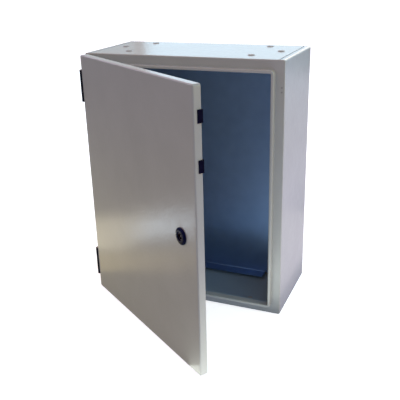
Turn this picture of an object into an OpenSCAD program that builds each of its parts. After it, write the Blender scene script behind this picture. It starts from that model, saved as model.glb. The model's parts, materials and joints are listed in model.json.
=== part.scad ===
// Steel wall enclosure with one hinged door and a quarter-turn lock.
// The wall is the plane Y = 0, the front faces -Y and +Z is up. The origin is
// the middle of the four wall fixing holes, on the outer face of the back.

/* [Body] */
// Width of the body
body_w = 400; // [320:10:600]
// Height of the body
body_h = 500; // [400:10:800]
// Depth from the wall to the face of the front flange
body_d = 185; // [150:5:300]
// Sheet thickness of the body
sheet = 1.2; // [1:0.1:1.8]
// Outer bend radius of the front and back edges
bend_r = 2; // [1.9:0.1:2.8]
// Outer radius of the four long edges
corner_r = 3.5; // [2.8:0.1:6]
// Width of the strip that each side folds over the top, bottom and back
side_fold = 10; // [9.5:0.5:20]
// Open groove between that strip and the wrapped sheet
seam_gap = 2.4; // [0.6:0.2:4]
// Part of the strip's width that the joggled edge laps under
tongue_lap = 5.5; // [4:0.5:5.5]
// Clearance between lapped sheets
lap_clear = 0.1; // [0.05:0.05:0.2]

/* [Front frame] */
// Width of the flat flange outside the rain channel
flange_w = 17; // [14:0.5:18]
// Width of the rain channel's crest
lip_w = 5.5; // [5.5:0.5:10]
// Height of the rain channel in front of the flange
lip_h = 12; // [10.5:0.5:12.5]
// Reach of the channel's inner wall behind the flange
lip_back = 5; // [3:0.5:6]
// Corner radius of the door opening
lip_corner_r = 2; // [1:0.5:6]

/* [Wall fixing] */
// Distance of the wall holes from the edges of the back
wall_hole_inset = 25; // [24:1:60]
// Diameter of the wall holes
wall_hole_d = 9; // [6:0.5:11]

/* [Mounting plate] */
// Gap between the sides of the mounting plate and the outside of the body
plate_side_gap = 27.5; // [24:0.5:45]
// Gap between the flanges of the mounting plate and the outside of the body
plate_end_gap = 7; // [6:0.5:20]
// Thickness of the mounting plate
plate_t = 1.5; // [1.5:0.5:3]
// Depth of the folded flanges in front of the plate
plate_flange = 25; // [12:1:30]
// Distance from the sides of the plate to the ends of the flanges
plate_flange_inset = 48.5; // [44:0.5:90]
// Outer bend radius of the flanges
plate_bend_r = 3; // [3:0.5:5]
// Distance from the wall to the front of the plate
plate_front = 35; // [20:1:60]
// Distance of the fixing holes from the sides of the plate
plate_hole_inset_x = 22.5; // [20:0.5:28]
// Distance of the fixing holes from the flanges of the plate
plate_hole_inset_z = 13; // [12:0.5:40]
// Radius of the notches that clear the wall bolts
access_r = 12; // [9:0.5:14]

/* [Door] */
// Door opening angle as drawn
door_open = 34; // [0:1:120]
// Sheet thickness of the door
door_sheet = 1.2; // [1:0.1:1.5]
// Depth of the door tray
door_depth = 14; // [13:0.5:14.5]
// Gap between the closed tray's edge and the flange
door_gap = 3; // [2:0.5:3.5]
// Distance from the tray's sides to the sides of the body
door_inset = 1; // [0.5:0.25:1.5]
// Outer bend radius of the tray's front edges
door_bend_r = 2.5; // [1.8:0.1:3]
// Corner radius of the tray
door_corner_r = 4; // [3:0.5:8]
// Width of the foam gasket
gasket_w = 10; // [7:0.5:10]
// Clearance between the closed gasket and the rain channel
gasket_clear = 0.3; // [0.3:0.1:0.6]

/* [Hinges] */
// Height of each hinge
hinge_h = 62; // [48:1:90]
// Distance from the ends of the door to the middle of each hinge
hinge_inset = 60; // [50:1:120]
// Distance of the hinge axis outside the side of the body
hinge_out = 1; // [0.5:0.25:1.5]
// Distance of the hinge axis behind the door's face
hinge_in = 0.8; // [0.4:0.2:1.6]
// Radius of the knuckles
knuckle_r = 3.5; // [3.2:0.1:3.8]
// Radius of the hinge pins
pin_r = 2; // [1.5:0.25:2.25]
// Radial clearance of the pins
pin_clear = 0.05; // [0.02:0.01:0.08]
// End clearance between knuckles
knuckle_gap = 0.4; // [0.3:0.1:0.8]
// Clearance between the knuckles and the door's notch
notch_clear = 1; // [0.6:0.2:1.4]
// Thickness of the body leaves
leaf_t = 3; // [2.5:0.5:4]
// Reach of the body leaves behind the flange
leaf_back = 22; // [18:1:40]
// Thickness of the door leaves
door_leaf_t = 2; // [1.6:0.2:2.4]
// Spacing of the two screws in each leaf
leaf_screw_pitch = 40; // [30:1:42]
// Shank radius of the body leaf screws
body_screw_r = 2.5; // [2:0.25:2.75]
// Shank radius of the door leaf screws
door_screw_r = 2; // [1.5:0.25:2]

/* [Lock] */
// Distance from the lock's axis to the door's free edge
lock_inset = 46; // [40:1:60]
// Height of the lock's axis above the middle of the door
lock_z = -3; // [-60:1:60]
// Radius of the lock's head
head_r = 15; // [14.6:0.2:18]
// Thickness of the lock's domed head
head_t = 3.2; // [2.4:0.1:4.5]
// Radius of the flat ring round the key opening
head_face_r = 9.6; // [9.6:0.1:12]
// Radius of the threaded barrel
barrel_r = 11; // [10.6:0.1:11.4]
// Distance between the barrel's two flats
barrel_flats = 20; // [19.4:0.1:21]
// Radius of the turning core
core_r = 7.8; // [7.4:0.1:9]
// Radial running clearance of the core
core_clear = 0.05; // [0.02:0.01:0.09]
// Depth of the core's face below the head
core_recess = 1.6; // [0.8:0.1:3]
// Width of the two bits in the key socket
bit_w = 3; // [3:0.5:5]
// Depth of the key socket
socket_depth = 9; // [6:0.5:10]
// Width across the flats of the barrel nut
nut_flats = 27; // [26:1:32]
// Thickness of the barrel nut
nut_t = 5; // [4:0.5:8]
// Thickness of the cam
cam_t = 3; // [2:0.5:5]
// Width of the cam
cam_w = 16; // [14:1:18]
// Gap between the locked cam and the frame
cam_clear = 0.5; // [0.4:0.1:1]

/* [Small parts] */
// Radius of the earth studs
earth_r = 3; // [2.5:0.5:4]
// Length of the earth studs
earth_len = 18; // [16:1:22]
// Radius of the mounting plate's studs
stud_r = 4; // [3:0.5:4]
// Height of the edge buffers
buffer_h = 20.5; // [14:0.5:30]
// Thickness of the edge buffers' legs
buffer_leg = 1.5; // [1:0.1:2]
// Reach of the edge buffers over the door's return
buffer_reach = 7; // [4:0.5:9]
// Radius of the holes for the hole plugs
plug_hole_r = 4.25; // [3:0.25:6]
// Radius of the heads of the top plugs
plug_head_r = 7; // [6.5:0.25:9]
// Distance of the paired hole plugs from the sides of the body
plug_inset = 75; // [60:1:100]
// Distance of the single hole plugs from the sides of the body
plug_end_inset = 36; // [32:1:46]
// Distance of the front hole plugs behind the flange
plug_front_inset = 42; // [30:1:60]
// Distance of the back hole plugs from the wall
plug_back_inset = 25; // [20:1:40]
// Distance from the top of the door to the upper edge buffer
buffer_inset = 47.5; // [30:0.5:80]
// Distance between the two edge buffers
buffer_pitch = 77; // [50:1:150]
// Distance of the earth studs from the hinge side of the body
earth_inset = 35; // [34:1:60]
// How far the body's earth stud stands behind the front flange
body_earth_back = 30; // [20:1:80]
// Distance of the door's earth stud from the bottom of the door
door_earth_inset = 44; // [36:1:90]

/* [Hidden] */
$fn = 64;

// Colours
paint_grey = [0.76, 0.77, 0.76];
zinc_grey = [0.62, 0.66, 0.7];
foam_grey = [0.2, 0.2, 0.21];
part_black = [0.07, 0.07, 0.09];
steel_bright = [0.7, 0.7, 0.7];
brass_gold = [0.75, 0.6, 0.3];

// Body planes
side_x = body_w / 2;
top_z = body_h / 2;
flange_y = -body_d;
frame_edge = 1; // straight edge of the front frame behind its bend
panel_end = body_d - bend_r - frame_edge; // where the folded panels meet the front frame
groove_x = side_x - side_fold - seam_gap; // edge of the wrapped sheet's flush face
floor_z = -top_z + sheet;
back_y = -sheet;
past = 1; // overrun of cutting shapes

// Door opening, inside the rain channel
open_x = side_x - flange_w - lip_w;
open_z = top_z - flange_w - lip_w;

// Closed door planes
door_front = flange_y - door_gap - door_depth;
door_back = door_front + door_sheet; // inner face of the door sheet
door_edge = side_x - door_inset; // outer face of the tray's returns
door_top = top_z - door_inset;
door_rear = flange_y - door_gap; // cut edge of the returns

// Wall fixing and mounting plate
wall_x = side_x - wall_hole_inset;
wall_z = top_z - wall_hole_inset;
plate_x = side_x - plate_side_gap;
plate_z = top_z - plate_end_gap;
plate_flange_x = plate_x - plate_flange_inset;
stud_x = plate_x - plate_hole_inset_x;
stud_z = plate_z - plate_hole_inset_z;
plate_corner = 5;

// Hinges
hinge_z = door_top - hinge_inset;
hinge_x = -side_x - hinge_out;
hinge_y = door_front + hinge_in;
knuckle_h = (hinge_h - 2 * knuckle_gap) / 3;
knuckle_cut_r = knuckle_r + knuckle_gap;
leaf_inner_x = -door_edge + door_sheet; // inner face of the hinge-side return
leaf_leg = 8; // width of the door leaf on the door sheet
leaf_wing = door_depth - door_sheet - 1.6; // width of the door leaf on the return
body_screw_y = flange_y + leaf_back / 2;
door_screw_y = door_back + door_leaf_t + (leaf_wing - door_leaf_t) / 2;
screw_clear = 0.1;
body_screw_head_r = body_screw_r + 2;
body_nut_h = 4;
door_screw_head_r = door_screw_r + 1.4;
door_screw_head_h = 1.8;

// Lock, measured from the door's outer face
lock_x = door_edge - lock_inset;
seal_t = 0.5;
head_front = seal_t + head_t;
cam_front = flange_y + lip_back + cam_clear; // front face of the closed cam
cam_face = door_front - cam_front; // the same, as a height above the door's face
barrel_end = cam_face + 0.3;
neck_r = 6.5;
neck_len = 8;
core_front = head_front - core_recess;
square_w = 8;
cam_screw_r = 3;
cam_screw_depth = 8;
cam_washer_t = 1.6;
cam_reach = (side_x - flange_w - 1) - lock_x; // tip behind the rain channel

// Small parts
earth_nut_h = 5;
earth_washer_t = 1.2;
stud_nut_h = 6.5;
stud_washer_t = 1.6;
stud_front = plate_front + stud_washer_t + stud_nut_h + 3;
fastener_clear = 0.1; // nuts and washers round their studs
plug_x = side_x - plug_inset;
plug_end_x = side_x - plug_end_inset;
plug_front_y = flange_y + plug_front_inset;
plug_back_y = -plug_back_inset;
plug_places = concat(
    [for (x = [-plug_x, plug_x], y = [plug_front_y, plug_back_y]) [x, y]],
    [for (x = [-plug_end_x, plug_end_x]) [x, (plug_front_y + plug_back_y) / 2]]
);
plug_clear = 0.1;
plug_head_t = 1.2;
floor_plug_head_r = plug_hole_r + 1;
buffer_back = door_gap - 0.3; // overhang of the buffers behind the return
buffer_clear = 0.05;
buffer_places = [door_top - buffer_inset, door_top - buffer_inset - buffer_pitch];
earth_x = -side_x + earth_inset;
earth_core_r = earth_r - 0.5; // thread core inside the nut
body_earth_y = flange_y + body_earth_back;
door_earth_z = -door_top + door_earth_inset;

// ---- Helpers ----

// A drawing in X and Z, pulled out along Y from y0 to y1
module along_y(y0, y1) {
    translate([0, y1, 0]) rotate([90, 0, 0]) linear_extrude(y1 - y0) children();
}

// A drawing in Y and Z, pulled out along X from x0 to x1
module along_x(x0, x1) {
    translate([x0, 0, 0]) rotate([90, 0, 90]) linear_extrude(x1 - x0) children();
}

// A local frame whose Z points out of the front, from the plane y
module facing_front(y) {
    translate([0, y, 0]) rotate([90, 0, 0]) children();
}

// A local frame whose Z points to the wall, from the plane y
module facing_wall(y) {
    translate([0, y, 0]) rotate([-90, 0, 0]) children();
}

module round_rect(x0, x1, y0, y1, r) {
    for (x = [x0 + r, x1 - r], y = [y0 + r, y1 - r]) translate([x, y]) circle(r);
    translate([x0 + r, y0]) square([x1 - x0 - 2 * r, y1 - y0]);
    translate([x0, y0 + r]) square([x1 - x0, y1 - y0 - 2 * r]);
}

module hexagon(flats) {
    circle(d = flats / cos(30), $fn = 6);
}

// The child profile carried round a rectangle with rounded corners. The
// profile's X points outwards from the rectangle and its Y is the ring's axis.
module swept_ring(half_x, half_y, inner_r) {
    for (turn = [0, 90, 180, 270]) {
        across = turn % 180 == 0 ? half_x : half_y;
        along = (turn % 180 == 0 ? half_y : half_x) - inner_r;
        rotate([0, 0, turn]) {
            translate([across, along, 0]) rotate([90, 0, 0]) linear_extrude(2 * along) children();
            translate([across - inner_r, along, 0]) rotate_extrude(angle = 90)
                translate([inner_r, 0]) children();
        }
    }
}

// Section of a tray's edge: flat face, bend of outer radius r, then the wall
module tray_edge(reach, depth, t, r) {
    square([reach - r, t]);
    translate([reach - t, r]) square([t, depth - r]);
    difference() {
        intersection() {
            translate([reach - r, r]) circle(r);
            translate([reach - max(r, t), 0]) square([max(r, t), r]);
        }
        if (r > t) translate([reach - r, r]) circle(r - t);
    }
}

// A shallow box folded from one sheet, open towards +Z
module tray(half_x, half_y, depth, t, edge_r, r) {
    translate([-half_x + edge_r, -half_y + edge_r, 0])
        cube([2 * (half_x - edge_r), 2 * (half_y - edge_r), t]);
    swept_ring(half_x - edge_r, half_y - edge_r, 0) tray_edge(edge_r, depth, t, r);
}

module stud_ring(r_out, r_in, h) {
    difference() {
        cylinder(r = r_out, h = h);
        translate([0, 0, -past]) cylinder(r = r_in, h = h + 2 * past);
    }
}

module hex_ring(flats, r_in, h) {
    difference() {
        linear_extrude(h) hexagon(flats);
        translate([0, 0, -past]) cylinder(r = r_in, h = h + 2 * past);
    }
}

// ---- Body ----

module body_form() {
    facing_front(0) tray(side_x, top_z, panel_end, sheet, corner_r, bend_r);
}

module behind_x(x0, x1) {
    translate([x0, -body_d - past, -top_z - past]) cube([x1 - x0, body_d + 2 * past, body_h + 2 * past]);
}

module wall_holes(r) {
    for (x = [-wall_x, wall_x], z = [-wall_z, wall_z])
        translate([x, past, z]) rotate([90, 0, 0]) cylinder(r = r, h = sheet + 2 * past);
}

module plug_holes() {
    for (p = plug_places) translate([p[0], p[1], -top_z - past]) cylinder(r = plug_hole_r, h = body_h + 2 * past);
}

// Top, back and bottom in one folded sheet, its long edges joggled under the sides
module body_wrap() {
    lap = sheet + lap_clear;
    color(paint_grey) difference() {
        union() {
            intersection() {
                body_form();
                behind_x(-groove_x, groove_x);
            }
            for (s = [-1, 1]) intersection() {
                facing_front(-lap) tray(side_x - lap, top_z - lap, panel_end - lap, sheet, corner_r - lap, bend_r - lap);
                behind_x(s > 0 ? groove_x - sheet : -side_x + side_fold - tongue_lap,
                    s > 0 ? side_x - side_fold + tongue_lap : -groove_x + sheet);
            }
            for (s = [-1, 1]) translate([s * (groove_x - sheet / 2), 0, 0]) joggle();
        }
        wall_holes(wall_hole_d / 2);
        plug_holes();
    }
}

// The step between the flush face and the lapped edge
module joggle() {
    along_x(-sheet / 2, sheet / 2) difference() {
        translate([-panel_end, -top_z + sheet / 2]) square([panel_end - sheet / 2, body_h - sheet]);
        translate([-panel_end - past, floor_z + lap_clear + sheet])
            square([panel_end + past - 2 * sheet - lap_clear, body_h - 4 * sheet - 2 * lap_clear]);
    }
}

module side_panel() {
    color(paint_grey) intersection() {
        body_form();
        behind_x(side_x - side_fold, side_x + past);
    }
}

module left_side_panel() {
    color(paint_grey) difference() {
        mirror([1, 0, 0]) side_panel();
        for (z = [-1, 1] * hinge_z, dz = [-1, 1] * leaf_screw_pitch / 2)
            translate([-side_x - past, body_screw_y, z + dz]) rotate([0, 90, 0])
                cylinder(r = body_screw_r + screw_clear, h = sheet + 2 * past);
    }
}

module right_side_panel() {
    side_panel();
}

// Section of the rain channel: u outwards from the opening, v to the front
module lip_section() {
    top_v = lip_h - bend_r;
    translate([0, -lip_back]) square([sheet, lip_back + top_v]);
    translate([lip_w - sheet, -sheet]) square([sheet, sheet + top_v]);
    translate([bend_r, lip_h - sheet]) square([lip_w - 2 * bend_r, sheet]);
    for (s = [0, 1]) translate([s * (lip_w - 2 * bend_r), top_v]) intersection() {
        translate([bend_r, 0]) difference() {
            circle(bend_r);
            circle(bend_r - sheet);
        }
        translate([s * bend_r, 0]) square(bend_r);
    }
}

// Front flange with its rain channel, welded into the folded panels
module front_frame() {
    lap = lip_w - sheet / 2; // the flange ends inside the channel's outer wall
    color(paint_grey) {
        facing_wall(flange_y) difference() {
            tray(side_x, top_z, bend_r + frame_edge, sheet, corner_r, bend_r);
            translate([0, 0, -past]) linear_extrude(sheet + 2 * past)
                round_rect(-open_x - lap, open_x + lap, -open_z - lap, open_z + lap, lip_corner_r + lap);
        }
        facing_front(flange_y) swept_ring(open_x, open_z, lip_corner_r) lip_section();
    }
}

// ---- Mounting plate ----

module at_plate_studs(y) {
    for (x = [-stud_x, stud_x], z = [-stud_z, stud_z])
        translate([x, y, z]) rotate([90, 0, 0]) children();
}

module mounting_plate() {
    flange_tip = plate_front + plate_flange;
    color(zinc_grey) difference() {
        union() {
            along_y(-plate_front, plate_t - plate_front) difference() {
                round_rect(-plate_x, plate_x, -plate_z, plate_z, plate_corner);
                for (s = [-1, 1]) translate([-plate_flange_x - 2, s > 0 ? plate_z - plate_bend_r : -plate_z - past])
                    square([2 * plate_flange_x + 4, plate_bend_r + past]);
            }
            for (s = [-1, 1]) along_x(-plate_flange_x, plate_flange_x) scale([1, s]) {
                translate([-flange_tip, plate_z - plate_t]) square([plate_flange + plate_t - plate_bend_r, plate_t]);
                translate([plate_t - plate_front - plate_bend_r, plate_z - plate_bend_r]) intersection() {
                    difference() {
                        circle(plate_bend_r);
                        circle(plate_bend_r - plate_t);
                    }
                    square(plate_bend_r);
                }
            }
        }
        at_plate_studs(plate_t - plate_front + past)
            cylinder(r = stud_r + 2 * fastener_clear, h = plate_t + 2 * past);
        for (x = [-wall_x, wall_x], z = [-wall_z, wall_z])
            translate([x, plate_t - plate_front + past, z]) rotate([90, 0, 0])
                cylinder(r = access_r, h = plate_t + 2 * past);
    }
}

module plate_studs() {
    color(steel_bright) at_plate_studs(back_y) {
        cylinder(r = stud_r, h = stud_front + back_y - 1);
        translate([0, 0, stud_front + back_y - 1]) cylinder(r1 = stud_r, r2 = stud_r - 0.8, h = 1);
    }
}

module plate_spacers() {
    color(steel_bright) at_plate_studs(back_y)
        hex_ring(3.25 * stud_r, stud_r + fastener_clear, plate_front - plate_t + back_y);
}

module plate_washers() {
    color(steel_bright) at_plate_studs(-plate_front)
        stud_ring(2 * stud_r, stud_r + fastener_clear, stud_washer_t);
}

module plate_nuts() {
    color(steel_bright) at_plate_studs(-plate_front - stud_washer_t)
        hex_ring(3.25 * stud_r, stud_r + fastener_clear, stud_nut_h);
}

// ---- Earth studs ----

module earth_stud() {
    seat = earth_washer_t + earth_nut_h;
    cylinder(r = earth_core_r, h = seat);
    translate([0, 0, seat]) cylinder(r = earth_r, h = earth_len - seat - 0.6);
    translate([0, 0, earth_len - 0.6]) cylinder(r1 = earth_r, r2 = earth_r - 0.6, h = 0.6);
}

module at_body_earth() {
    translate([earth_x, body_earth_y, floor_z]) children();
}

module at_door_earth() {
    on_door() translate([earth_x, door_back, door_earth_z]) rotate([-90, 0, 0]) children();
}

module body_earth_stud() {
    color(brass_gold) at_body_earth() earth_stud();
}

module body_earth_washer() {
    color(steel_bright) at_body_earth() stud_ring(2 * earth_r, earth_core_r + fastener_clear, earth_washer_t);
}

module body_earth_nut() {
    color(brass_gold) at_body_earth() translate([0, 0, earth_washer_t])
        hex_ring(10 / 3 * earth_r, earth_core_r + fastener_clear, earth_nut_h);
}

module door_earth_stud() {
    color(brass_gold) at_door_earth() earth_stud();
}

module door_earth_washer() {
    color(steel_bright) at_door_earth() stud_ring(2 * earth_r, earth_core_r + fastener_clear, earth_washer_t);
}

module door_earth_nut() {
    color(brass_gold) at_door_earth() translate([0, 0, earth_washer_t])
        hex_ring(10 / 3 * earth_r, earth_core_r + fastener_clear, earth_nut_h);
}

// ---- Hole plugs ----

// Domed head outside, barbed stem inside
module top_hole_plugs() {
    color(part_black) for (p = plug_places) translate([p[0], p[1], top_z]) {
        cylinder(r1 = plug_head_r, r2 = plug_head_r - 1.5, h = plug_head_t);
        translate([0, 0, -sheet - plug_clear]) cylinder(r = plug_hole_r - plug_clear, h = sheet + plug_clear);
        translate([0, 0, -sheet - plug_clear - 2])
            cylinder(r1 = plug_hole_r - 1, r2 = plug_hole_r + 0.4, h = 2);
    }
}

// Flush below, with the head on the floor
module bottom_hole_plugs() {
    color(part_black) for (p = plug_places) translate([p[0], p[1], -top_z]) {
        cylinder(r = plug_hole_r - plug_clear, h = sheet);
        translate([0, 0, sheet]) cylinder(r1 = floor_plug_head_r, r2 = floor_plug_head_r - 0.6, h = 1);
    }
}

// ---- Door ----

// Turns what is drawn in the closed pose to the open pose
module on_door() {
    translate([hinge_x, hinge_y, 0]) rotate([0, 0, -door_open]) translate([-hinge_x, -hinge_y, 0]) children();
}

module door_panel() {
    color(paint_grey) on_door() difference() {
        facing_wall(door_front) tray(door_edge, door_top, door_depth, door_sheet, door_corner_r, door_bend_r);
        for (z = [-1, 1] * hinge_z) {
            translate([-side_x - past, door_front - past, z - hinge_h / 2 - notch_clear])
                cube([hinge_x + knuckle_r + notch_clear + side_x + past,
                    hinge_y + knuckle_r + notch_clear - door_front + past, hinge_h + 2 * notch_clear]);
            at_door_screws(z, -door_edge - past)
                cylinder(r = door_screw_r + screw_clear, h = door_sheet + 2 * past);
        }
        at_lock() translate([0, 0, -door_sheet - past]) linear_extrude(door_sheet + 2 * past)
            flatted_circle(barrel_r + 0.2, barrel_flats + 0.3);
    }
}

// Foam bead on the door, over the crest of the rain channel
module door_gasket() {
    t = door_back - flange_y;
    bead_t = -t - lip_h - gasket_clear;
    edge = min(bead_t / 2, gasket_w / 3);
    inner_x = open_x + lip_w / 2 - gasket_w / 2;
    inner_z = open_z + lip_w / 2 - gasket_w / 2;
    color(foam_grey) on_door() facing_wall(door_back)
        swept_ring(inner_x, inner_z, max(lip_corner_r + lip_w / 2 - gasket_w / 2, 0.5)) {
            square([gasket_w, bead_t - edge]);
            translate([edge, 0]) square([gasket_w - 2 * edge, bead_t]);
            for (u = [edge, gasket_w - edge]) translate([u, bead_t - edge]) circle(edge);
        }
}

module edge_buffers() {
    x0 = door_edge - door_sheet - buffer_leg;
    x1 = door_edge + buffer_leg;
    y0 = door_rear - buffer_reach;
    color(part_black) on_door() for (z = buffer_places)
        translate([0, 0, z - buffer_h / 2]) linear_extrude(buffer_h) difference() {
            round_rect(x0, x1, y0, door_rear + buffer_back, 0.8);
            translate([door_edge - door_sheet - buffer_clear, y0 - past])
                square([door_sheet + 2 * buffer_clear, buffer_reach + past + buffer_clear]);
        }
}

// ---- Hinges ----

module at_axis(z) {
    translate([hinge_x, hinge_y, z]) children();
}

// The two outer knuckles of a hinge centred on z
module at_body_knuckles(z) {
    for (s = [-1, 1]) at_axis(z + s * (knuckle_h + knuckle_gap) - knuckle_h / 2) children();
}

module at_door_screws(z, x) {
    for (dz = [-1, 1] * leaf_screw_pitch / 2)
        translate([x, door_screw_y, z + dz]) rotate([0, 90, 0]) children();
}

module at_body_screws(z, x) {
    for (dz = [-1, 1] * leaf_screw_pitch / 2)
        translate([x, body_screw_y, z + dz]) rotate([0, 90, 0]) children();
}

// Leaf on the outside of the body, with two knuckles
module body_leaf(z) {
    color(part_black) difference() {
        union() {
            along_x(-side_x - leaf_t, -side_x) {
                round_rect(hinge_y + knuckle_r, flange_y + leaf_back, z - hinge_h / 2, z + hinge_h / 2, 4);
                translate([hinge_y, z - hinge_h / 2]) square([knuckle_r + 5, hinge_h]);
            }
            at_body_knuckles(z) cylinder(r = knuckle_r, h = knuckle_h);
        }
        at_axis(z - knuckle_h / 2 - knuckle_gap) cylinder(r = knuckle_cut_r, h = knuckle_h + 2 * knuckle_gap);
        at_axis(z - hinge_h / 2 - past) cylinder(r = pin_r + pin_clear, h = hinge_h + 2 * past);
        at_body_screws(z, -side_x - leaf_t - past) cylinder(r = body_screw_r + screw_clear, h = leaf_t + 2 * past);
        at_body_screws(z, -side_x - leaf_t) cylinder(r1 = body_screw_head_r + screw_clear, r2 = body_screw_r + screw_clear, h = 2);
    }
}

// Angle inside the door's corner, with the middle knuckle
module door_leaf(z) {
    color(part_black) on_door() difference() {
        union() {
            translate([leaf_inner_x, door_back, z - hinge_h / 2]) {
                cube([leaf_leg, door_leaf_t, hinge_h]);
                cube([door_leaf_t, leaf_wing, hinge_h]);
            }
            translate([hinge_x, door_back, z - knuckle_h / 2]) cube([leaf_inner_x - hinge_x + 1, door_leaf_t, knuckle_h]);
            at_axis(z - knuckle_h / 2) cylinder(r = knuckle_r, h = knuckle_h);
        }
        at_body_knuckles(z) translate([0, 0, -knuckle_gap]) cylinder(r = knuckle_cut_r, h = knuckle_h + 2 * knuckle_gap);
        at_axis(z - hinge_h / 2 - past) cylinder(r = pin_r + pin_clear, h = hinge_h + 2 * past);
        at_door_screws(z, leaf_inner_x - past) cylinder(r = door_screw_r + screw_clear, h = door_leaf_t + 2 * past);
    }
}

module hinge_pin(z) {
    color(steel_bright) at_axis(z - hinge_h / 2) {
        cylinder(r = pin_r, h = hinge_h);
        translate([0, 0, hinge_h]) cylinder(r1 = pin_r + 0.8, r2 = pin_r, h = 0.8);
    }
}

module upper_body_leaf() {
    body_leaf(hinge_z);
}

module upper_door_leaf() {
    door_leaf(hinge_z);
}

module upper_hinge_pin() {
    hinge_pin(hinge_z);
}

module lower_body_leaf() {
    body_leaf(-hinge_z);
}

module lower_door_leaf() {
    door_leaf(-hinge_z);
}

module lower_hinge_pin() {
    hinge_pin(-hinge_z);
}

// Countersunk screws through the body leaves and the side
module body_leaf_screws() {
    color(part_black) for (z = [-1, 1] * hinge_z) at_body_screws(z, -side_x - leaf_t) {
        cylinder(r1 = body_screw_head_r, r2 = body_screw_r, h = 2);
        cylinder(r = body_screw_r, h = leaf_t + sheet + body_nut_h + 1.5);
    }
}

module body_leaf_nuts() {
    color(steel_bright) for (z = [-1, 1] * hinge_z) at_body_screws(z, -side_x + sheet)
        hex_ring(3.2 * body_screw_r, body_screw_r + fastener_clear, body_nut_h);
}

// Low round heads inside the door, ends flush with the return
module door_leaf_screws() {
    seat = door_sheet + door_leaf_t;
    color(steel_bright) on_door() for (z = [-1, 1] * hinge_z) at_door_screws(z, -door_edge) {
        cylinder(r = door_screw_r, h = seat);
        translate([0, 0, seat]) cylinder(r1 = door_screw_head_r, r2 = door_screw_head_r - 0.8, h = door_screw_head_h);
    }
}

// ---- Lock ----

// The closed door's lock axis, Z pointing out of the door from its outer face
module at_lock() {
    translate([lock_x, door_front, lock_z]) rotate([90, 0, 0]) children();
}

module flatted_circle(r, flats) {
    intersection() {
        circle(r);
        square([flats, 2 * r + 2], center = true);
    }
}

// Domed head, its flat ring level with the front
module lock_head() {
    rim = head_t / 4;
    rotate_extrude() polygon(concat([[0, 0], [head_r, 0]],
        [for (t = [0:22.5:90]) [head_face_r + (head_r - head_face_r) * cos(t), rim + (head_t - rim) * sin(t)]],
        [[0, head_t]]));
}

module lock_housing() {
    color(part_black) on_door() at_lock() difference() {
        union() {
            translate([0, 0, seal_t]) lock_head();
            translate([0, 0, barrel_end]) linear_extrude(seal_t - barrel_end + 0.5)
                flatted_circle(barrel_r, barrel_flats);
        }
        translate([0, 0, barrel_end + neck_len])
            cylinder(r = core_r + core_clear, h = head_front + past - barrel_end - neck_len);
        translate([0, 0, barrel_end - past]) cylinder(r = neck_r + core_clear, h = neck_len + 2 * past);
    }
}

module lock_seal() {
    color(foam_grey) on_door() at_lock() stud_ring(head_r - 0.6, barrel_r + 0.3, seal_t);
}

module lock_nut() {
    color(steel_bright) on_door() at_lock() translate([0, 0, -door_sheet - nut_t])
        hex_ring(nut_flats, barrel_r + fastener_clear, nut_t);
}

// Turning core: round socket with a centre pin and two bits, square tail for the cam
module lock_core() {
    key_r = core_r * 2 / 3;
    pin = core_r * 0.3;
    color(steel_bright) on_door() at_lock() difference() {
        union() {
            translate([0, 0, barrel_end + neck_len + 0.1])
                cylinder(r = core_r, h = core_front - barrel_end - neck_len - 0.1);
            translate([0, 0, cam_face]) cylinder(r = neck_r, h = barrel_end + neck_len + 1 - cam_face);
            translate([0, 0, cam_face - cam_t + 0.1]) linear_extrude(cam_t + 1) square(square_w, center = true);
        }
        translate([0, 0, core_front - socket_depth]) difference() {
            cylinder(r = key_r, h = socket_depth + past);
            cylinder(r = pin, h = socket_depth - 1);
            translate([-bit_w / 2, -key_r * 0.78, -past]) cube([bit_w, 2 * key_r * 0.78, socket_depth - 2]);
        }
        translate([0, 0, cam_face - cam_t - past])
            cylinder(r = cam_screw_r + fastener_clear, h = cam_screw_depth + past);
    }
}

// Flat cam, hanging down when unlocked and turned behind the frame when locked
module lock_cam() {
    color(zinc_grey) on_door() at_lock() translate([0, 0, cam_face - cam_t]) difference() {
        linear_extrude(cam_t) {
            circle(cam_w / 2);
            translate([-cam_w / 2, -cam_reach + cam_w / 4]) square([cam_w, cam_reach - cam_w / 4]);
            round_rect(-cam_w / 2, cam_w / 2, -cam_reach, 0, cam_w / 4);
        }
        translate([0, 0, -past]) linear_extrude(cam_t + 2 * past) square(square_w + 0.2, center = true);
    }
}

module cam_washer() {
    color(steel_bright) on_door() at_lock() translate([0, 0, cam_face - cam_t - cam_washer_t])
        stud_ring(2.6 * cam_screw_r, cam_screw_r + fastener_clear, cam_washer_t);
}

module cam_screw() {
    under = cam_face - cam_t - cam_washer_t;
    color(steel_bright) on_door() at_lock() {
        translate([0, 0, under - 4]) linear_extrude(4) hexagon(10 / 3 * cam_screw_r);
        translate([0, 0, under]) cylinder(r = cam_screw_r, h = cam_washer_t + cam_screw_depth - 0.5);
    }
}

body_wrap();
left_side_panel();
right_side_panel();
front_frame();
mounting_plate();
plate_studs();
plate_spacers();
plate_washers();
plate_nuts();
body_earth_stud();
body_earth_washer();
body_earth_nut();
top_hole_plugs();
bottom_hole_plugs();
door_panel();
door_gasket();
edge_buffers();
door_earth_stud();
door_earth_washer();
door_earth_nut();
upper_body_leaf();
upper_door_leaf();
upper_hinge_pin();
lower_body_leaf();
lower_door_leaf();
lower_hinge_pin();
body_leaf_screws();
body_leaf_nuts();
door_leaf_screws();
lock_housing();
lock_seal();
lock_nut();
lock_core();
lock_cam();
cam_washer();
cam_screw();
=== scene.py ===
import bpy
import json
import math
from mathutils import Matrix, Vector


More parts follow.
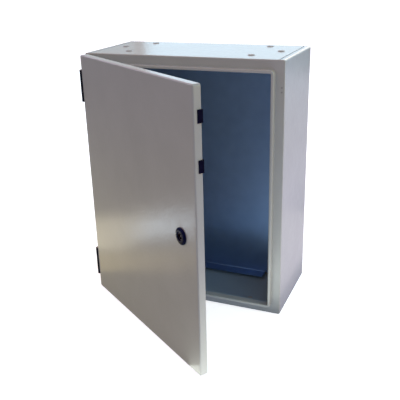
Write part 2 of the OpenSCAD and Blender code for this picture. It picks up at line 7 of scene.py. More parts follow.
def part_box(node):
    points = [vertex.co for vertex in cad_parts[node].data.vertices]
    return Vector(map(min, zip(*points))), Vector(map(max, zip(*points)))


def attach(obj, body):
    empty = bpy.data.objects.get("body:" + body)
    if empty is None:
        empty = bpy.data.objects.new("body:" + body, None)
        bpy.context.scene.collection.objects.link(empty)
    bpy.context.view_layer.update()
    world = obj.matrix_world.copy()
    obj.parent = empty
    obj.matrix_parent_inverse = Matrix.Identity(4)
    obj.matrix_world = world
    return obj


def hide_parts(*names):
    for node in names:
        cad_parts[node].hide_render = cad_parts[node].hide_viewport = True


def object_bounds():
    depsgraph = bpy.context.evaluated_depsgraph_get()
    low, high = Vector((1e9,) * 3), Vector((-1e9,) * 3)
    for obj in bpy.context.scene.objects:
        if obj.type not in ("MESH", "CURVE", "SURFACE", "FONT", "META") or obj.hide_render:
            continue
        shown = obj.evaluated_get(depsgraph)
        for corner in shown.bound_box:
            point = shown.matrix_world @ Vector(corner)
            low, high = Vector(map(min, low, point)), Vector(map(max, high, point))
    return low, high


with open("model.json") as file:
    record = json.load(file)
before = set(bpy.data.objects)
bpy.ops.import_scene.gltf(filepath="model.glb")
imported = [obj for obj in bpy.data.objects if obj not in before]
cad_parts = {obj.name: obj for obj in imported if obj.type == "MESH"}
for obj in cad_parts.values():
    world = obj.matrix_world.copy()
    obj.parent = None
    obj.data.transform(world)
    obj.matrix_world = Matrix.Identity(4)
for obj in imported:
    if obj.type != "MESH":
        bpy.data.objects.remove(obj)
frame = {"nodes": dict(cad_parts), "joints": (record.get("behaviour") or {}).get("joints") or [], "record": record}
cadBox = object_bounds()
print("frame loaded:", len(frame["nodes"]), "CAD nodes")

mm = 0.001
nodes = frame["nodes"]


def newMaterial(name):
    mat = bpy.data.materials.new(name)
    mat.use_nodes = True
    tree = mat.node_tree
    return mat, tree, tree.nodes["Principled BSDF"]


def objectCoords(tree):
    return tree.nodes.new("ShaderNodeTexCoord").outputs["Object"]


def noise(tree, coords, size, detail=2.0, rough=0.5):
    node = tree.nodes.new("ShaderNodeTexNoise")
    node.inputs["Scale"].default_value = 1.0 / size
    node.inputs["Detail"].default_value = detail
    node.inputs["Roughness"].default_value = rough
    tree.links.new(coords, node.inputs["Vector"])
    return node.outputs["Fac"]


def ramp(tree, fac, stops):
    node = tree.nodes.new("ShaderNodeValToRGB")
    while len(node.color_ramp.elements) < len(stops):
        node.color_ramp.elements.new(0.5)
    for element, (place, colour) in zip(node.color_ramp.elements, stops):
        element.position = place
        element.color = (*colour, 1.0)
    tree.links.new(fac, node.inputs["Fac"])
    return node.outputs["Color"]


# soft patches that drift between two shades
def patches(tree, coords, size, shades, detail, span=(0.3, 0.7), rough=0.5):
    return ramp(tree, noise(tree, coords, size, detail, rough), list(zip(span, shades)))


def grey(value):
    return (value, value, value)


def tinted(colour, factor):
    return tuple(part * factor for part in colour)


def mixColour(tree, fac, first, second, blend="MIX"):
    node = tree.nodes.new("ShaderNodeMix")
    node.data_type = "RGBA"
    node.blend_type = blend
    # 0, 6 and 7 are the factor and colours of a colour mix, and output 2 is its result
    for socket, value in ((node.inputs[0], fac), (node.inputs[6], first), (node.inputs[7], second)):
        if isinstance(value, bpy.types.NodeSocket):
            tree.links.new(value, socket)
        elif socket.type == "RGBA":
            socket.default_value = (*value, 1.0)
        else:
            socket.default_value = value
    return node.outputs[2]


# each height: its socket, its depth in metres and its strength, one laid on another
def bump(tree, shader, heights):
    last = None
    for height, depth, strength in heights:
        node = tree.nodes.new("ShaderNodeBump")
        node.inputs["Strength"].default_value = strength
        node.inputs["Distance"].default_value = depth
        tree.links.new(height, node.inputs["Height"])
        if last is not None:
            tree.links.new(last, node.inputs["Normal"])
        last = node.outputs["Normal"]
    tree.links.new(last, shader.inputs["Normal"])


# light grey semi-gloss powder coat
paint = {
    "colour": (0.50, 0.505, 0.49),
    "patchSize": 60 * mm,
    "patchShade": 0.95,
    "paintedShadeTint": (0.72, 0.86, 1.0),    # painted shade: the cool cast of the shaded inside, multiplied into the colour
    "insideFront": -183.6 * mm,         # just behind the front flange
    "halfSheet": 0.6 * mm,
    "roughness": (0.20, 0.27),
    "glossSize": 14 * mm,
    "peelSize": 5.5 * mm,
    "peelDepth": 0.14 * mm,
    "waveSize": 16 * mm,
    "waveDepth": 0.12 * mm,
}


# limits of the body's inside along X, Y and Z, halfway through its sheet
def bodyInside():
    skin = paint["halfSheet"]
    across, _, upright = [(low + skin, high - skin) for low, high in zip(*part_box("front_frame"))]
    return [across, (paint["insideFront"], -skin), upright]


# 1 between the limits given for X, Y and Z, and 0 outside them
def insideMask(tree, coords, limits):
    axes = tree.nodes.new("ShaderNodeSeparateXYZ")
    tree.links.new(coords, axes.inputs[0])
    product = None
    for axis, (low, high) in zip("XYZ", limits):
        for limit, operation in ((low, "GREATER_THAN"), (high, "LESS_THAN")):
            test = tree.nodes.new("ShaderNodeMath")
            test.operation = operation
            tree.links.new(axes.outputs[axis], test.inputs[0])
            test.inputs[1].default_value = limit
            if product is None:
                product = test.outputs[0]
                continue
            times = tree.nodes.new("ShaderNodeMath")
            times.operation = "MULTIPLY"
            tree.links.new(product, times.inputs[0])
            tree.links.new(test.outputs[0], times.inputs[1])
            product = times.outputs[0]
    return product


# small rubbed marks high on the front flange, at its lock side
rubMarks = {
    "places": [(0.1945, -0.185, 0.2022), (0.1945, -0.185, 0.1940)],
    "colour": (0.08, 0.08, 0.09),
    "reach": 2.2 * mm,
    "core": 0.4,          # of the reach, as dark as the mark gets
    "strength": 0.4,
}


def rubMask(tree, coords, place):
    distance = tree.nodes.new("ShaderNodeVectorMath")
    distance.operation = "DISTANCE"
    tree.links.new(coords, distance.inputs[0])
    distance.inputs[1].default_value = place
    fade = tree.nodes.new("ShaderNodeMapRange")
    fade.inputs["From Min"].default_value = rubMarks["reach"]
    fade.inputs["From Max"].default_value = rubMarks["reach"] * rubMarks["core"]
    fade.inputs["To Max"].default_value = rubMarks["strength"]
    tree.links.new(distance.outputs["Value"], fade.inputs["Value"])
    return fade.outputs[0]


def powderCoat(name, inside=None):
    mat, tree, shader = newMaterial(name)
    coords = objectCoords(tree)
    colour = paint["colour"]
    shades = (tinted(colour, paint["patchShade"]), colour)
    shade = patches(tree, coords, paint["patchSize"], shades, detail=3)
    if inside:
        # painted shade: the inside faces of the body get a cooler, bluer colour, the way shade inside it looks
        paintedShadeColour = mixColour(tree, 1.0, shade, paint["paintedShadeTint"], "MULTIPLY")
        shade = mixColour(tree, insideMask(tree, coords, inside), shade, paintedShadeColour)
        for place in rubMarks["places"]:
            shade = mixColour(tree, rubMask(tree, coords, place), shade, rubMarks["colour"])
    tree.links.new(shade, shader.inputs["Base Color"])
    gloss = patches(tree, coords, paint["glossSize"], map(grey, paint["roughness"]), detail=4, rough=0.6)
    tree.links.new(gloss, shader.inputs["Roughness"])
    wave = noise(tree, coords, paint["waveSize"], detail=0)
    peel = noise(tree, coords, paint["peelSize"], detail=0)    # the coat's orange peel
    bump(tree, shader, [(wave, paint["waveDepth"], 1.0), (peel, paint["peelDepth"], 1.0)])
    return mat


# broad soft clouds in the zinc, on sheet that isn't quite flat
zinc = {
    # the zinc's own grey, with a painted blue cast of the shade inside the box
    "colour": (0.235, 0.345, 0.57),
    "patchSize": 26 * mm,
    "patchShades": (0.97, 1.03),
    "roughness": (0.38, 0.42),
    "glossSize": 18 * mm,
    "waveSize": 60 * mm,
    "waveDepth": 0.08 * mm,
}


def galvanised(name):
    mat, tree, shader = newMaterial(name)
    coords = objectCoords(tree)
    shades = [tinted(zinc["colour"], factor) for factor in zinc["patchShades"]]
    shade = patches(tree, coords, zinc["patchSize"], shades, detail=1)
    tree.links.new(shade, shader.inputs["Base Color"])
    sheens = map(grey, zinc["roughness"])
    gloss = patches(tree, coords, zinc["glossSize"], sheens, detail=2, span=(0.3, 0.75))
    tree.links.new(gloss, shader.inputs["Roughness"])
    shader.inputs["Metallic"].default_value = 1.0
    wave = noise(tree, coords, zinc["waveSize"], detail=0)
    bump(tree, shader, [(wave, zinc["waveDepth"], 1.0)])
    return mat


# plated steel, brass and the cast insert of the lock
turned = {
    "steel": (0.62, 0.62, 0.60),
    "brass": (0.70, 0.50, 0.22),
    "insert": (0.045, 0.026, 0.050),
    "patchSize": 5 * mm,
    "patchShade": 0.82,
    "roughness": (0.2, 0.38),
    "glossSize": 2 * mm,
    "grainSize": 0.7 * mm,
    "grainDepth": 0.02 * mm,
    "grainStrength": 0.3,
}


def turnedMetal(name, colour):
    mat, tree, shader = newMaterial(name)
    coords = objectCoords(tree)
    shades = (tinted(colour, turned["patchShade"]), colour)
    shade = patches(tree, coords, turned["patchSize"], shades, detail=3)
    tree.links.new(shade, shader.inputs["Base Color"])
    gloss = patches(tree, coords, turned["glossSize"], map(grey, turned["roughness"]), detail=2)
    tree.links.new(gloss, shader.inputs["Roughness"])
    shader.inputs["Metallic"].default_value = 1.0
    grain = noise(tree, coords, turned["grainSize"])
    bump(tree, shader, [(grain, turned["grainDepth"], turned["grainStrength"])])
    return mat


# hole plugs, door buffers, hinge leaves and lock head: colour, roughness, grain size and shine
moulded = {
    "plugs": ((0.30, 0.29, 0.28), (0.5, 0.62), 0.5 * mm, 0.5),
    "buffers": ((0.001, 0.001, 0.014), (0.5, 0.6), 0.5 * mm, 0.05),
    "hinges": ((0.004, 0.005, 0.014), (0.42, 0.55), 0.8 * mm, 0.2),
    "lockHead": ((0.001, 0.002, 0.030), (0.24, 0.32), 0.4 * mm, 0.08),
    "patchSize": 8 * mm,
    "patchShade": 1.7,
    "patchLift": 0.002,
    "glossSize": 3 * mm,
    "grainDepth": 0.04 * mm,
    "grainStrength": 0.35,
}


def mouldedPart(name, kind):
    colour, roughness, grainSize, shine = moulded[kind]
    mat, tree, shader = newMaterial(name)
    shader.inputs["Specular IOR Level"].default_value = shine
    coords = objectCoords(tree)
    worn = tuple(part * moulded["patchShade"] + moulded["patchLift"] for part in colour)
    shade = patches(tree, coords, moulded["patchSize"], (colour, worn), detail=4, span=(0.3, 0.75))
    tree.links.new(shade, shader.inputs["Base Color"])
    gloss = patches(tree, coords, moulded["glossSize"], map(grey, roughness), detail=3)
    tree.links.new(gloss, shader.inputs["Roughness"])
    grain = noise(tree, coords, grainSize)
    bump(tree, shader, [(grain, moulded["grainDepth"], moulded["grainStrength"])])
    return mat


sealFoam = {
    "shades": (0.02, 0.045),
    "patchSize": 3 * mm,
    "roughness": 0.85,
    "poreSize": 0.9 * mm,
    "poreDepth": 0.2 * mm,
    "poreStrength": 0.6,
}


def foam(name):
    mat, tree, shader = newMaterial(name)
    coords = objectCoords(tree)
    shade = patches(tree, coords, sealFoam["patchSize"], map(grey, sealFoam["shades"]), detail=4)
    tree.links.new(shade, shader.inputs["Base Color"])
    shader.inputs["Roughness"].default_value = sealFoam["roughness"]
    pores = noise(tree, coords, sealFoam["poreSize"], detail=3)
    bump(tree, shader, [(pores, sealFoam["poreDepth"], sealFoam["poreStrength"])])
    return mat


finishes = {
    "body_paint": powderCoat("bodyPaint", bodyInside()),
    "door_paint": powderCoat("doorPaint"),
    "plate_zinc": galvanised("plateZinc"),
    "plug_plastic": mouldedPart("plugPlastic", "plugs"),
    "bright_steel": turnedMetal("brightSteel", turned["steel"]),
    "earth_brass": turnedMetal("earthBrass", turned["brass"]),
    "black_plastic": mouldedPart("blackPlastic", "buffers"),
    "black_metal": mouldedPart("blackMetal", "hinges"),
    "lock_black": mouldedPart("lockBlack", "lockHead"),
    "lock_metal": turnedMetal("lockMetal", turned["insert"]),
    "foam": foam("foamSeal"),
}
slotOf = {row["node"]: row["material_slot"] for row in frame["record"]["subparts"]}
for nodeName, obj in nodes.items():
    obj.data.materials.clear()
    obj.data.materials.append(finishes[slotOf[nodeName]])
print("finishes on", len(nodes), "nodes")


def turnAbout(joint, degrees):
    place = Matrix.Translation(joint["pos_m"])
    return place @ Matrix.Rotation(math.radians(degrees), 4, Vector(joint["axis"])) @ place.inverted()


joints = {joint["name"]: joint for joint in frame["joints"]}
still = Matrix.Identity(4)
doorOpen = turnAbout(joints["door_swing"], -joints["door_swing"]["range_deg"][0])    # closed door to rest


# corners of each separate solid of a node, seen with the given move undone
def solidBoxes(nodeName, move=still):
    mesh = nodes[nodeName].data
    back = move.inverted()
    points = [back @ v.co for v in mesh.vertices]
    spots = {}    # vertices at the same place count as one
    same = [spots.setdefault(tuple(round(c, 6) for c in v.co), i) for i, v in enumerate(mesh.vertices)]
    parent = list(range(len(points)))

    def rootOf(i):
        while parent[i] != i:
            parent[i] = parent[parent[i]]
            i = parent[i]
        return i

    for face in mesh.polygons:
        first = rootOf(same[face.vertices[0]])
        for other in face.vertices[1:]:
            parent[rootOf(same[other])] = first
    groups = {}
    for i, point in enumerate(points):
        groups.setdefault(rootOf(same[i]), []).append(point)
    return [(Vector(map(min, zip(*g))), Vector(map(max, zip(*g)))) for g in groups.values()]


# frame whose Z runs along the given direction from the given point
def alongAxis(point, direction):
    return Matrix.Translation(point) @ direction.to_track_quat("Z", "Y").to_matrix().to_4x4()


def mainAxis(direction):
    return max(range(3), key=lambda k: abs(direction[k]))


# the same from the middle of a box's side, where the direction enters the box
def seatOn(box, direction):
    low, high = box
    along = mainAxis(direction)
    point = (low + high) / 2
    point[along] = low[along] if direction[along] > 0 else high[along]
    return alongAxis(point, direction)


def sizeOf(box):
    return box[1] - box[0]


# a shape grows from rings of points joined by faces; place puts each part where it belongs
def newShape():
    return {"verts": [], "faces": []}


# closed joins the last ring to the first, otherwise both end rings are capped
def addRings(shape, rings, place, closed=False):
    start = len(shape["verts"])
    count = len(rings[0])
    for ring in rings:
        shape["verts"] += [place @ Vector(point) for point in ring]
    for k in range(len(rings) if closed else len(rings) - 1):
        low = start + k * count
        high = start + (k + 1) % len(rings) * count
        for i in range(count):
            j = (i + 1) % count
            shape["faces"].append((low + i, low + j, high + j, high + i))
    if not closed:
        shape["faces"].append(tuple(reversed(range(start, start + count))))
        shape["faces"].append(tuple(range(start + (len(rings) - 1) * count, start + len(rings) * count)))


# radius and height are numbers, or functions of the angle round the ring
def ringOf(radius, height, steps=48):
    ring = []
    for i in range(steps):
        turn = 2 * math.pi * i / steps
        r = radius(turn) if callable(radius) else radius
        z = height(turn) if callable(height) else height
        ring.append((r * math.cos(turn), r * math.sin(turn), z))
    return ring


def hexRadius(flats):
    return lambda turn: flats / 2 / math.cos(turn % (math.pi / 3) - math.pi / 6)


def crossRadius(reach, width):
    def radius(turn):
        side = (turn + math.pi / 4) % (math.pi / 2) - math.pi / 4
        return min(reach / math.cos(side), width / 2 / max(abs(math.sin(side)), 1e-6))
    return radius


smoothAngle = 35


# the piece takes the place and the finish of the given node
def finishPiece(shape, name, body, nodeName):
    slot = slotOf[nodeName]
    mesh = bpy.data.meshes.new(name)
    mesh.from_pydata(shape["verts"], [], shape["faces"])
    mesh.validate()
    for face in mesh.polygons:
        face.use_smooth = True
    mesh.set_sharp_from_angle(angle=math.radians(smoothAngle))
    piece = bpy.data.objects.new(name, mesh)
    bpy.context.scene.collection.objects.link(piece)
    piece.data.materials.append(finishes[slot])
    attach(piece, body)
    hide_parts(nodeName)


threads = {
    "steps": 24,          # points round one turn
    "rowsPerTurn": 6,
    "depth": 0.54,        # of the pitch
    "crest": 1.3,         # above 1 flattens the crests
}


# 0 in the groove of a thread and 1 on its crest
def crestAt(z, turn, pitch):
    phase = (z / pitch - turn / (2 * math.pi)) % 1
    return min(1.0, abs(phase - 0.5) * 2 * threads["crest"])


# plain is the unthreaded length at the foot, tip the bevel at the end
def threadedRod(shape, place, radius, length, pitch, plain=0.0, tip=0.0):
    rows = [0.0, plain] if plain > 0 else [0.0]
    step = pitch / threads["rowsPerTurn"]
    while rows[-1] + step < length:
        rows.append(rows[-1] + step)
    rows.append(length)
    depth = threads["depth"] * pitch

    def reachAt(z):
        limit = radius - max(0.0, z - (length - tip))
        if z <= plain:
            return limit
        return lambda turn: min(limit, radius - depth * (1 - crestAt(z, turn, pitch)))

    addRings(shape, [ringOf(reachAt(z), z, threads["steps"]) for z in rows], place)


nut = {
    "chamfer": 0.97,      # round of the faces, against the flats
    "slope": 30,
    "lead": 0.35 * mm,    # bevel of the threaded hole
}


def hexNut(shape, place, flats, bore, height):
    face = flats / 2 * nut["chamfer"]
    corner = hexRadius(flats)
    slope = math.tan(math.radians(nut["slope"]))
    lead = nut["lead"]

    def foot(turn):
        return (corner(turn) - face) * slope

    addRings(shape, [
        ringOf(corner, foot),
        ringOf(corner, lambda turn: height - foot(turn)),
        ringOf(face, height),
        ringOf(bore + lead, height),
        ringOf(bore, height - lead),
        ringOf(bore, lead),
        ringOf(bore + lead, 0),
        ringOf(face, 0),
    ], place, closed=True)


washerEdge = 0.2          # bevel of a stamped washer, against its thickness


def flatWasher(shape, place, outer, bore, height):
    soft = washerEdge * height
    addRings(shape, [
        ringOf(outer, soft), ringOf(outer, height - soft), ringOf(outer - soft, height),
        ringOf(bore, height), ringOf(bore, 0), ringOf(outer - soft, 0),
    ], place, closed=True)


toothed = {
    "teeth": 12,
    "toothShare": 0.62,   # of each step round the rim, the rest is a notch
    "notch": 0.24,        # against the outer radius
    "twist": 0.45,        # of the height, how far a tooth's edge leans up
    "plain": 0.74,        # radius of the flat part inside the teeth
    "thin": 0.25,         # of the height, off both faces of the flat part
    "steps": 96,
}


def toothedWasher(shape, place, outer, bore, height):
    share, twist, steps = toothed["toothShare"], toothed["twist"], toothed["steps"]
    plain = outer * toothed["plain"]
    thin = height * toothed["thin"]

    def phase(turn):
        return turn / (2 * math.pi) * toothed["teeth"] % 1

    def edge(turn):
        return outer * (1 - toothed["notch"] * (phase(turn) > share))

    def low(turn):
        return height * twist * phase(turn) / share if phase(turn) <= share else 0

    addRings(shape, [
        ringOf(edge, low, steps),
        ringOf(edge, lambda turn: low(turn) + height * (1 - twist), steps),
        ringOf(plain, height - thin, steps),
        ringOf(bore, height - thin, steps),
        ringOf(bore, thin, steps),
        ringOf(plain, thin, steps),
    ], place, closed=True)


earthPoint = {
    "pitch": 1.0 * mm,
    "tip": 0.6 * mm,
    "nutFlats": 10 / 3,   # this and the next two against the stud's radius
    "bore": 0.87,
    "washer": 2,
}


# direction: the way the stud points before the move
def buildEarthPoint(prefix, body, move, direction):
    stud, washer, hexagon = (solidBoxes(prefix + part, move)[0] for part in ("_stud", "_washer", "_nut"))
    along = mainAxis(direction)
    across = (along + 1) % 3
    radius = sizeOf(stud)[across] / 2
    bore = radius * earthPoint["bore"]
    shape = newShape()
    place = move @ seatOn(stud, direction)
    threadedRod(shape, place, radius, sizeOf(stud)[along], earthPoint["pitch"], tip=earthPoint["tip"])
    finishPiece(shape, prefix + "_threaded", body, prefix + "_stud")
    shape = newShape()
    place = move @ seatOn(hexagon, direction)
    hexNut(shape, place, radius * earthPoint["nutFlats"], bore, sizeOf(hexagon)[along])
    finishPiece(shape, prefix + "_hexagon", body, prefix + "_nut")
    shape = newShape()
    place = move @ seatOn(washer, direction)
    toothedWasher(shape, place, radius * earthPoint["washer"], bore, sizeOf(washer)[along])
    finishPiece(shape, prefix + "_teeth", body, prefix + "_washer")


plateFixings = {
    "pitch": 1.25 * mm,
    "thread": 15 * mm,    # threaded length at the front
    "tip": 0.8 * mm,
    "nutFlats": 3.25,     # this and the next against the stud's radius
    "nutBore": 0.88,
    "washerGap": 0.1 * mm,
}


def buildPlateFixings():
    rods, nuts, rings = newShape(), newShape(), newShape()
    forward = Vector((0, -1, 0))
    studs = solidBoxes("plate_studs")
    radius = sizeOf(studs[0]).x / 2
    for box in studs:
        length = sizeOf(box).y
        threadedRod(rods, seatOn(box, forward), radius, length, plateFixings["pitch"],
                    plain=length - plateFixings["thread"], tip=plateFixings["tip"])
    for box in solidBoxes("plate_nuts"):
        flats, bore = radius * plateFixings["nutFlats"], radius * plateFixings["nutBore"]
        hexNut(nuts, seatOn(box, forward), flats, bore, sizeOf(box).y)
    for box in solidBoxes("plate_washers"):
        outer, bore = sizeOf(box).x / 2, radius + plateFixings["washerGap"]
        flatWasher(rings, seatOn(box, forward), outer, bore, sizeOf(box).y)
    finishPiece(rods, "plateStudsThreaded", "body", "plate_studs")
    finishPiece(nuts, "plateNutsChamfered", "body", "plate_nuts")
    finishPiece(rings, "plateWashersRound", "body", "plate_washers")


# countersunk socket screws outside, their nuts inside the body
leafScrews = {
    "overhang": 2.0 * mm,      # of the head past the shank
    "headDepth": 2.0 * mm,
    "neck": 0.98,              # where the cone leaves the shank, against its radius
    "rim": 0.12 * mm,
    "pitch": 0.8 * mm,
    "threadStop": 1.6 * mm,    # below the head's face
    "socketFlats": 3.0 * mm,
    "socketDepth": 1.6 * mm,
    "drillRadius": 0.3 * mm,   # end of the drilled hollow under the socket
    "drillDepth": 0.4 * mm,
    "nutFlats": 3.2,           # this and the next against the shank's radius
    "nutBore": 0.9,
}


def buildLeafScrews():
    screws, nuts = newShape(), newShape()
    inward = Vector((1, 0, 0))
    look = leafScrews
    boxes = solidBoxes("body_leaf_screws")
    head = sizeOf(boxes[0]).z / 2
    shank = head - look["overhang"]
    hexagon = hexRadius(look["socketFlats"])
    for box in boxes:
        length = sizeOf(box).x
        socketFloor = length - look["socketDepth"]
        place = seatOn(box, -inward)
        threadedRod(screws, place, shank, length - look["threadStop"], look["pitch"])
        addRings(screws, [
            ringOf(shank * look["neck"], length - look["headDepth"]),
            ringOf(head, length - look["rim"]),
            ringOf(head - look["rim"], length),
            ringOf(hexagon, length),
            ringOf(hexagon, socketFloor),
            ringOf(look["drillRadius"], socketFloor - look["drillDepth"]),
        ], place)
    for box in solidBoxes("body_leaf_nuts"):
        flats, bore = shank * look["nutFlats"], shank * look["nutBore"]
        hexNut(nuts, seatOn(box, inward), flats, bore, sizeOf(box).x)
    finishPiece(screws, "bodyLeafScrewsSocket", "body", "body_leaf_screws")
    finishPiece(nuts, "bodyLeafNutsChamfered", "body", "body_leaf_nuts")


# low round heads with a cross recess, inside the door
doorScrews = {
    "overhang": 1.4 * mm,      # of the head past the shank
    "headHeight": 1.8 * mm,
    "foot": 0.5,               # ring under the head, against its radius
    "rim": 0.5 * mm,
    "crown": 0.55,             # top of the dome, against the head's radius
    "domeSteps": 5,
    "pitch": 0.7 * mm,
    "crossReach": 0.5,         # against the head's radius
    "crossWidth": 0.7 * mm,
    "crossDepth": 1.1 * mm,
    "crossTaper": 0.75,
    "steps": 96,
}


def buildDoorScrews():
    screws = newShape()
    look = doorScrews
    steps, rim, crown = look["steps"], look["rim"], look["crown"]
    for box in solidBoxes("door_leaf_screws", doorOpen):
        head = sizeOf(box).z / 2
        length = sizeOf(box).x
        seat = length - look["headHeight"]
        place = doorOpen @ seatOn(box, Vector((1, 0, 0)))
        threadedRod(screws, place, head - look["overhang"], seat, look["pitch"])
        rings = [ringOf(head * look["foot"], seat, steps)]
        rings += [ringOf(head, seat, steps), ringOf(head, seat + rim, steps)]
        for k in range(1, look["domeSteps"] + 1):
            turn = k / look["domeSteps"] * math.pi / 2
            radius = head * (crown + (1 - crown) * math.cos(turn))
            rings.append(ringOf(radius, seat + rim + (look["headHeight"] - rim) * math.sin(turn), steps))
        cross = crossRadius(head * look["crossReach"], look["crossWidth"])
        crossFloor = length - look["crossDepth"]
        rings.append(ringOf(cross, length, steps))
        rings.append(ringOf(lambda turn: cross(turn) * look["crossTaper"], crossFloor, steps))
        addRings(screws, rings, place)
    finishPiece(screws, "doorLeafScrewsCross", "door", "door_leaf_screws")


lockHead = {
    "barrel": 11.0 * mm,       # radius of the threaded barrel
    "flats": 20.0 * mm,        # across the two flats cut on it
    "pitch": 1.0 * mm,
    "threadDepth": 0.5,        # of the pitch
    "rowsPerTurn": 5,
    "threadStop": 4.0 * mm,    # behind the door's outer face
    "rim": 0.8 * mm,
    "faceRing": 9.6 * mm,      # radius of the flat face round the insert
    "domeSteps": 10,
    "lead": 0.4 * mm,
    "coreGap": 0.05 * mm,
    "shaftBore": 6.55 * mm,    # radius of the wider bore at the back
    "shaftDepth": 8.0 * mm,
    "steps": 72,
    "nutFlats": 27.0 * mm,
    "nutGap": 0.1 * mm,
}


# the threaded barrel with its two flats, at one height
def barrelRadius(z):
    look = lockHead
    depth = look["threadDepth"] * look["pitch"] if z < -look["threadStop"] else 0

    def radius(turn):
        groove = depth * (1 - crestAt(z, turn, look["pitch"]))
        return min(look["barrel"] - groove, look["flats"] / 2 / max(abs(math.sin(turn)), 1e-6))

    return radius


# heights are measured outward from the door's outer face
def lockRings(end, sealTop, front, headRadius, coreRadius):
    look = lockHead
    steps, lead, faceRing = look["steps"], look["lead"], look["faceRing"]
    rings = []
    z = end
    while z < sealTop:
        rings.append(ringOf(barrelRadius(z), z, steps))
        z += look["pitch"] / look["rowsPerTurn"]
    shoulder = sealTop + look["rim"]
    rings.append(ringOf(look["barrel"], sealTop, steps))
    rings.append(ringOf(headRadius, sealTop, steps))
    rings.append(ringOf(headRadius, shoulder, steps))
    for k in range(1, look["domeSteps"] + 1):
        turn = k / look["domeSteps"] * math.pi / 2
        radius = faceRing + (headRadius - faceRing) * math.cos(turn)
        rings.append(ringOf(radius, shoulder + (front - shoulder) * math.sin(turn), steps))
    shaftTop = end + look["shaftDepth"]
    rings.append(ringOf(coreRadius + lead, front, steps))
    rings.append(ringOf(coreRadius, front - lead, steps))
    rings.append(ringOf(coreRadius, shaftTop, steps))
    rings.append(ringOf(look["shaftBore"], shaftTop, steps))
    rings.append(ringOf(look["shaftBore"], end, steps))
    return rings


def buildLock():
    outward = Vector((0, -1, 0))
    door, head, core, seal, ringNut = (
        solidBoxes(name, doorOpen)[0]
        for name in ("door_panel", "lock_housing", "lock_core", "lock_seal", "lock_nut")
    )
    outerFace = door[0].y
    end, sealTop, front = outerFace - head[1].y, outerFace - seal[0].y, outerFace - head[0].y
    centre = (head[0] + head[1]) / 2
    centre.y = outerFace
    coreRadius = sizeOf(core).x / 2 + lockHead["coreGap"]
    rings = lockRings(end, sealTop, front, sizeOf(head).x / 2, coreRadius)
    shape = newShape()
    addRings(shape, rings, doorOpen @ alongAxis(centre, outward), closed=True)
    finishPiece(shape, "lockHeadDomed", "door", "lock_housing")
    shape = newShape()
    place = doorOpen @ seatOn(ringNut, outward)
    hexNut(shape, place, lockHead["nutFlats"], lockHead["barrel"] + lockHead["nutGap"], sizeOf(ringNut).y)
    finishPiece(shape, "lockNutChamfered", "door", "lock_nut")


# small rounds on the edges of these nodes, as moulding and stamping leave them
softEdges = {
    "widths": {
        "edge_buffers": 0.5 * mm,
        "upper_body_leaf": 0.35 * mm,
        "lower_body_leaf": 0.35 * mm,
        "upper_door_leaf": 0.3 * mm,
        "lower_door_leaf": 0.3 * mm,
        "lock_cam": 0.4 * mm,
        "lock_core": 0.25 * mm,
        "mounting_plate": 0.25 * mm,
        "plate_spacers": 0.3 * mm,
        "cam_screw": 0.3 * mm,
    },
    "segments": 2,
    "sharperThan": 50,
    "weld": 0.01 * mm,
}


def softenEdges():
    for nodeName, width in softEdges["widths"].items():
        obj = nodes[nodeName]
        weld = obj.modifiers.new("joinSplits", "WELD")
        weld.merge_threshold = softEdges["weld"]
        edge = obj.modifiers.new("softEdge", "BEVEL")
        edge.width = width
        edge.segments = softEdges["segments"]
        edge.limit_method = "ANGLE"
        edge.angle_limit = math.radians(softEdges["sharperThan"])
        edge.harden_normals = True


buildEarthPoint("body_earth", "body", still, Vector((0, 0, 1)))
buildEarthPoint("door_earth", "door", doorOpen, Vector((0, 1, 0)))
buildPlateFixings()
print("earth points and plate fixings built")
buildLeafScrews()
buildDoorScrews()
print("hinge screws built")
buildLock()
print("lock built")
softenEdges()
print("soft edges on", len(softEdges["widths"]), "nodes")


studio = {
    "floorSize": 30.0,
    "floorColour": (0.93, 0.93, 0.93),
    "floorGlow": 0.72,
    "backdropRadius": 14.0,
    "backdropColour": (1.0, 1.0, 1.0),
    "camera": (0.4854, -1.2396, 0.4159),
    "turn": 23.144,
    "tilt": 21.081,
    "roll": -1.522,
    "lens": 56.49,
}


# the panels just over it stand for it in gloss and bounce, so those rays pass it by
def makeFloor():
    bpy.ops.mesh.primitive_plane_add(size=studio["floorSize"], location=(0, 0, cadBox[0][2]))
    floor = bpy.context.object
    floor.name = "studioFloor"
    mat, _, shader = newMaterial("floorPale")
    shader.inputs["Base Color"].default_value = (*studio["floorColour"], 1)
    shader.inputs["Roughness"].default_value = 0.9
    shader.inputs["Specular IOR Level"].default_value = 0.1
    shader.inputs["Emission Color"].default_value = (1, 1, 1, 1)
    shader.inputs["Emission Strength"].default_value = studio["floorGlow"]
    floor.data.materials.append(mat)
    floor.visible_glossy = False
    floor.visible_diffuse = False


# a pale dome that only the camera sees, round the whole studio
def makeBackdrop():
    bpy.ops.mesh.primitive_uv_sphere_add(segments=64, ring_count=32, radius=studio["backdropRadius"])
    dome = bpy.context.object
    dome.name = "studioBackdrop"
    mat, _, shader = newMaterial("backdropPale")
    shader.inputs["Base Color"].default_value = (0, 0, 0, 1)
    shader.inputs["Specular IOR Level"].default_value = 0
    shader.inputs["Emission Color"].default_value = (*studio["backdropColour"], 1)
    shader.inputs["Emission Strength"].default_value = 1
    dome.data.materials.append(mat)
    dome.visible_glossy = False
    dome.visible_diffuse = False
    dome.visible_shadow = False


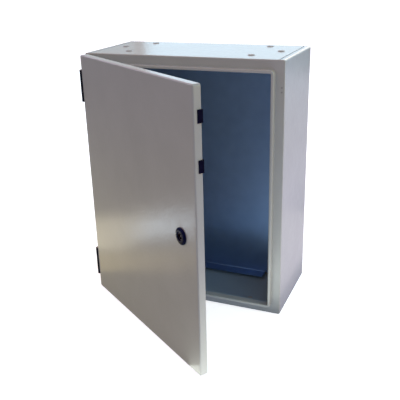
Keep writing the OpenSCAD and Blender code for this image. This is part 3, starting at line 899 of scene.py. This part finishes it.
def makeCamera():
    turn, tilt, roll = (math.radians(studio[k]) for k in ("turn", "tilt", "roll"))
    ahead = Vector((-math.sin(turn) * math.cos(tilt), math.cos(turn) * math.cos(tilt), -math.sin(tilt)))
    levelRight = Vector((math.cos(turn), math.sin(turn), 0))
    levelUp = levelRight.cross(ahead)
    right = levelRight * math.cos(roll) + levelUp * math.sin(roll)
    up = levelUp * math.cos(roll) - levelRight * math.sin(roll)
    data = bpy.data.cameras.new("studioCamera")
    data.lens = studio["lens"]
    cam = bpy.data.objects.new("studioCamera", data)
    bpy.context.scene.collection.objects.link(cam)
    aim = Matrix((right, up, -ahead)).transposed().to_4x4()
    cam.matrix_world = Matrix.Translation(studio["camera"]) @ aim
    bpy.context.scene.camera = cam


# light of the room low, level and high, on the door's side, ahead and on the lock side
room = {
    "door": ((0.30, 0.27, 0.04), (0.01, 0.01, 0.01), (1.29, 1.22, 1.60)),
    "ahead": ((0.34, 0.50, 0.63), (0.01, 0.01, 0.01), (0.55, 0.24, 0.05)),
    "lock": ((0.36, 0.19, 0.36), (0.01, 0.01, 0.01), (0.41, 0.68, 0.96)),
    "heights": (0.30, 0.41, 0.50, 0.625),    # 0 straight down, 1 straight up
    "turnDoor": (0.125, 0.225),              # 0 at the hinge side, 1 at the lock side
    "turnLock": (0.42, 0.70),
}


def makeWorld():
    world = bpy.data.worlds.new("studioWorld")
    bpy.context.scene.world = world
    world.use_nodes = True
    tree = world.node_tree
    back = tree.nodes["Background"]
    coords = tree.nodes.new("ShaderNodeTexCoord").outputs["Generated"]
    axes = tree.nodes.new("ShaderNodeSeparateXYZ")
    tree.links.new(coords, axes.inputs[0])
    span = {}
    for axis in "XZ":
        reach = tree.nodes.new("ShaderNodeMapRange")
        reach.inputs["From Min"].default_value = -1
        reach.inputs["From Max"].default_value = 1
        tree.links.new(axes.outputs[axis], reach.inputs["Value"])
        span[axis] = reach.outputs[0]
    zones = []
    for zone in ("door", "ahead", "lock"):
        low, level, high = room[zone]
        zones.append(ramp(tree, span["Z"], list(zip(room["heights"], (low, level, level, high)))))
    turns = []
    for limits in (room["turnDoor"], room["turnLock"]):
        turns.append(ramp(tree, span["X"], list(zip(limits, (grey(0), grey(1))))))
    doorSide = mixColour(tree, turns[0], zones[0], zones[1])
    tree.links.new(mixColour(tree, turns[1], doorSide, zones[2]), back.inputs["Color"])
    back.inputs["Strength"].default_value = 1.0


# name: place, target, size, radiance of red, green and blue
roomLights = {
    "leftWindow": ((-0.93, 2.6, 1.30), (-0.93, 0, 1.30), (1.2, 2.0), (1.00, 1.56, 1.93)),
    "rightWindow": ((0.2, 2.6, 1.30), (0.2, 0, 1.30), (1.2, 2.0), (3.03, 2.94, 2.70)),
    "rightBackWall": ((2.0, 2.2, 0.2), (0, 0, 0), (1.6, 1.2), (2.82, 4.10, 5.80)),
    "rightWall": ((2.4, -0.4, 0.6), (0, -0.1, 0), (2.2, 1.6), (1.50, 1.19, 0.25)),
    "leftWall": ((-2.13, 1.65, 0.4), (0, 0, 0), (2.0, 1.4), (0.37, 0.66, 0.82)),
}

# panels that face up from just over the table: place, size, radiance
tableLift = 3 * mm
tableLights = {
    "tableFront": ((0.275, -0.37), (0.35, 0.26), (1.75, 1.87, 1.73)),
    "tableRight": ((0.65, -0.375), (0.40, 0.35), (0.49, 0.48, 0.75)),
    "tableLeftBack": ((-0.48, -0.18), (0.22, 0.16), (1.60, 1.45, 1.05)),
    "tableLeftMiddle": ((-0.52, -0.34), (0.14, 0.16), (2.90, 3.40, 3.90)),
    "tableNear": ((-0.31, -0.26), (0.10, 0.32), (0.74, 0.59, 0.28)),
    "tableSide": ((0.335, 0.10), (0.23, 0.5), (0.58, 0.53, 0.55)),
    "tableBack": ((0.85, 1.45), (1.1, 2.2), (0.59, 0.53, 0.63)),
}


def areaLight(name, place, direction, size, radiance):
    strongest = max(radiance)
    data = bpy.data.lights.new(name, "AREA")
    data.shape = "RECTANGLE"
    data.size, data.size_y = size
    data.energy = strongest * math.pi * size[0] * size[1]
    data.color = [part / strongest for part in radiance]
    light = bpy.data.objects.new(name, data)
    bpy.context.scene.collection.objects.link(light)
    light.location = place
    light.rotation_euler = direction.to_track_quat("-Z", "Y").to_euler()
    light.visible_camera = False


def makeLights():
    for name, (place, target, size, radiance) in roomLights.items():
        areaLight(name, place, Vector(target) - Vector(place), size, radiance)
    height = cadBox[0][2] + tableLift
    for name, (place, size, radiance) in tableLights.items():
        areaLight(name, (*place, height), Vector((0, 0, 1)), size, radiance)


makeFloor()
makeBackdrop()
makeCamera()
makeWorld()
makeLights()
bpy.context.scene.view_settings.view_transform = "Standard"
print("studio ready with", len(roomLights) + len(tableLights), "lights")
